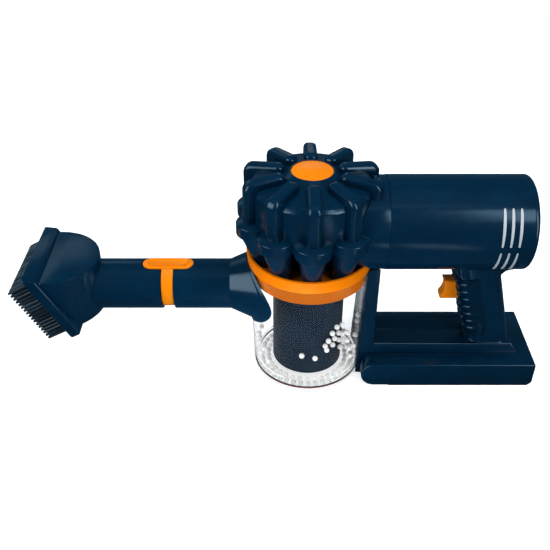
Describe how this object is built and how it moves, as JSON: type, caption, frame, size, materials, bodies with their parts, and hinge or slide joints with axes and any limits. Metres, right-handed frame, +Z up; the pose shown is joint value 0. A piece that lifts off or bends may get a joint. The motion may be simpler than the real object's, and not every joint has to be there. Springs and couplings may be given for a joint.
{
  "type": "toy handheld vacuum cleaner",
  "caption": "Toy handheld vacuum cleaner with a pull-off brush tool, clear bead bin, ribbed cyclone pod, motor housing and pistol grip on a battery base.",
  "frame": {"origin": "centre of the bin's foot, on the floor the toy stands on", "axes": "+X from the bin to the handle, +Y to the far side of the picture, +Z up"},
  "size_m": [0.3902, 0.1098, 0.1718],
  "materials": {
    "navy_plastic": "glossy moulded",
    "orange_plastic": "glossy moulded",
    "clear_plastic": "clear polished",
    "black_plastic": "glossy moulded",
    "bristle_nylon": "fibres",
    "silver_trim": "silver lacquer",
    "steel": "plated",
    "bead_foam": "foam",
    "seal_rubber": "matt",
    "cell_can": "wrapped"
  },
  "bodies": {
    "cleaner": {"inlet_duct": "navy_plastic", "filter_shroud": "navy_plastic", "cyclone_cones": "navy_plastic", "pod_dome": "navy_plastic", "housing_neck": "navy_plastic", "motor_housing_near": "navy_plastic", "motor_housing_far": "navy_plastic", "rear_cap": "navy_plastic", "handle_frame_near": "navy_plastic", "handle_frame_far": "navy_plastic", "battery_case": "navy_plastic", "battery_cover": "navy_plastic", "bin_collar": "orange_plastic", "pod_cap": "orange_plastic", "dust_bin": "clear_plastic", "bin_foot": "clear_plastic", "grip_pad": "black_plastic", "motor_mount": "black_plastic", "trigger_switch": "black_plastic", "vent_stripes": "silver_trim", "latch_spring": "steel", "pod_screw": "steel", "motor_screws": "steel", "trigger_spring": "steel", "case_screws": "steel", "cover_screw": "steel", "contact_springs": "steel", "contact_plates": "steel", "base_screws": "steel", "fan_motor": "steel", "beads": "bead_foam", "spigot_seal": "seal_rubber", "bin_gasket": "seal_rubber", "cell_1": "cell_can", "cell_2": "cell_can", "cell_3": "cell_can"},
    "brush_tool": {"brush_hood": "navy_plastic", "tool_tube": "navy_plastic", "brush_flange": "navy_plastic", "bristle_field": "bristle_nylon"},
    "latch": {"latch_button": "orange_plastic"},
    "trigger_body": {"trigger": "orange_plastic"},
    "fan": {"fan_impeller": "black_plastic", "motor_shaft": "steel"}
  },
  "joints": [
    {"name": "tool_pull", "type": "slide", "parent": "cleaner", "child": "brush_tool", "axis": [-1, 0, 0], "range_m": [0, 0.06]},
    {"name": "latch_press", "type": "slide", "parent": "cleaner", "child": "latch", "axis": [0, 0, -1], "range_m": [0, 0.002], "stiffness_N_per_m": 800, "springref_m": -0.0005, "deforming": ["latch_spring"]},
    {"name": "trigger_pull", "type": "slide", "parent": "cleaner", "child": "trigger_body", "axis": [1, 0, 0], "range_m": [0, 0.004], "stiffness_N_per_m": 400, "springref_m": -0.001, "deforming": ["trigger_spring"]},
    {"name": "fan_spin", "type": "hinge", "parent": "cleaner", "child": "fan", "pos_m": [0.088, 0, 0.129], "axis": [1, 0, 0], "continuous": true}
  ]
}
